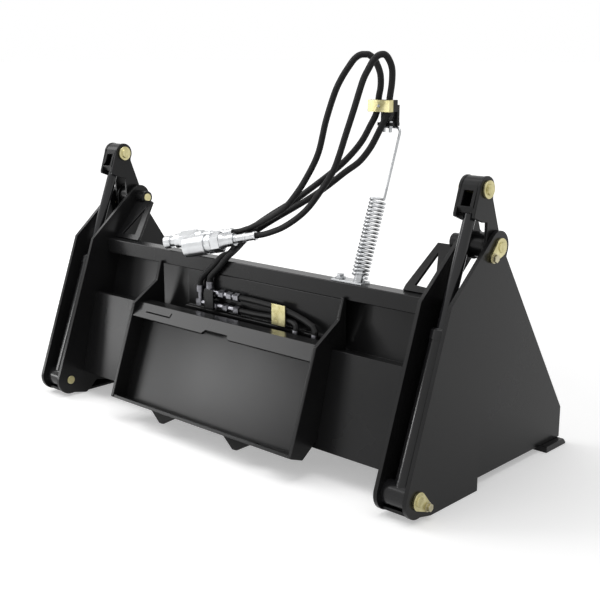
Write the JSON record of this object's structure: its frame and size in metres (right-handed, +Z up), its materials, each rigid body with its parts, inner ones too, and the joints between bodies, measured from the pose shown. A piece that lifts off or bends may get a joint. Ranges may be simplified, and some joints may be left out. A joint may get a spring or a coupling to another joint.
{
  "type": "combination bucket",
  "caption": "Clamshell combination bucket with a quick-attach back plate, side cylinders working an opening front clam, and a sprung hose guide.",
  "frame": {"origin": "middle of the footprint, on the ground the bucket stands on, with the hoses left out", "axes": "+X to the machine's right along the bucket's width, +Y forward to the cutting edge, +Z up"},
  "size_m": [1.09, 0.5397, 0.7797],
  "materials": {
    "satin_black": "satin powder coat",
    "barrel_black": "gloss paint",
    "rod_black": "polished black",
    "gold_zinc": "yellow zinc plate",
    "silver_zinc": "clear zinc plate",
    "coupler_silver": "bright plated steel",
    "fitting_dark": "dark plated steel",
    "hose_black": "matt rubber cover"
  },
  "bodies": {
    "frame": {"moldboard": "satin_black", "top_beam": "satin_black", "manifold_plate": "satin_black", "loader_plate": "satin_black", "loader_gusset_left": "satin_black", "loader_gusset_right": "satin_black", "plate_tabs": "satin_black", "inner_cheek_left": "satin_black", "inner_cheek_right": "satin_black", "outer_cheek_left": "satin_black", "outer_cheek_right": "satin_black", "foot_plate_left": "satin_black", "foot_plate_right": "satin_black", "pocket_shields": "satin_black", "hinge_bosses": "satin_black", "boss_gussets": "satin_black", "moldboard_edge": "satin_black", "hinge_pin_left": "gold_zinc", "hinge_pin_right": "gold_zinc", "base_pin_left": "gold_zinc", "base_pin_right": "gold_zinc", "flag_bolts": "silver_zinc", "hinge_washers": "silver_zinc", "mast_base": "silver_zinc", "mast_spring": "silver_zinc", "clamp_bracket": "satin_black", "clamp_plate": "gold_zinc", "mast_bolts": "silver_zinc", "hose_a": "hose_black", "hose_b": "hose_black", "socket_coupler": "coupler_silver", "plug_coupler": "coupler_silver", "hose_ferrules": "coupler_silver", "tee_fittings": "fitting_dark", "recess_hoses": "hose_black", "hose_clamps": "gold_zinc"},
    "clam": {"clam_floor": "satin_black", "cutting_edge": "satin_black", "clam_side_left": "satin_black", "clam_side_right": "satin_black", "lever_inner_left": "satin_black", "lever_inner_right": "satin_black", "lever_outer_left": "satin_black", "lever_outer_right": "satin_black", "lever_hub_left": "satin_black", "lever_hub_right": "satin_black", "lever_pin_left": "gold_zinc", "lever_pin_right": "gold_zinc"},
    "barrel_left_body": {"barrel_left": "barrel_black", "gland_left": "barrel_black"},
    "barrel_right_body": {"barrel_right": "barrel_black", "gland_right": "barrel_black"},
    "rod_left_body": {"rod_left": "rod_black", "rod_yoke_left": "satin_black"},
    "rod_right_body": {"rod_right": "rod_black", "rod_yoke_right": "satin_black"},
    "sleeve": {"coupler_sleeve": "coupler_silver"}
  },
  "joints": [
    {"name": "clam_hinge", "type": "hinge", "parent": "frame", "child": "clam", "pos_m": [0, -0.0151, 0.4445], "axis": [1, 0, 0], "range_deg": [0, 45]},
    {"name": "barrel_pivot_left", "type": "hinge", "parent": "frame", "child": "barrel_left_body", "pos_m": [-0.5015, -0.2369, 0.039], "axis": [1, 0, 0], "range_deg": [0, 5.51]},
    {"name": "rod_slide_left", "type": "slide", "parent": "barrel_left_body", "child": "rod_left_body", "axis": [0, 0.3509, 0.9364], "range_m": [-0.0674, 0]},
    {"name": "barrel_pivot_right", "type": "hinge", "parent": "frame", "child": "barrel_right_body", "pos_m": [0.5015, -0.2369, 0.039], "axis": [1, 0, 0], "range_deg": [0, 5.51]},
    {"name": "rod_slide_right", "type": "slide", "parent": "barrel_right_body", "child": "rod_right_body", "axis": [0, 0.3509, 0.9364], "range_m": [-0.0674, 0]},
    {"name": "coupler_sleeve_slide", "type": "slide", "parent": "frame", "child": "sleeve", "axis": [0.9264, 0.3068, 0.2183], "range_m": [0, 0.005], "stiffness_N_per_m": 2000, "springref_m": -0.001}
  ],
  "couplings": [
    {"joint": "barrel_pivot_left", "follows": "clam_hinge", "ratio": 0.12125},
    {"joint": "rod_slide_left", "follows": "clam_hinge", "m_per_rad": -0.085139},
    {"joint": "barrel_pivot_right", "follows": "clam_hinge", "ratio": 0.12125},
    {"joint": "rod_slide_right", "follows": "clam_hinge", "m_per_rad": -0.085139}
  ]
}
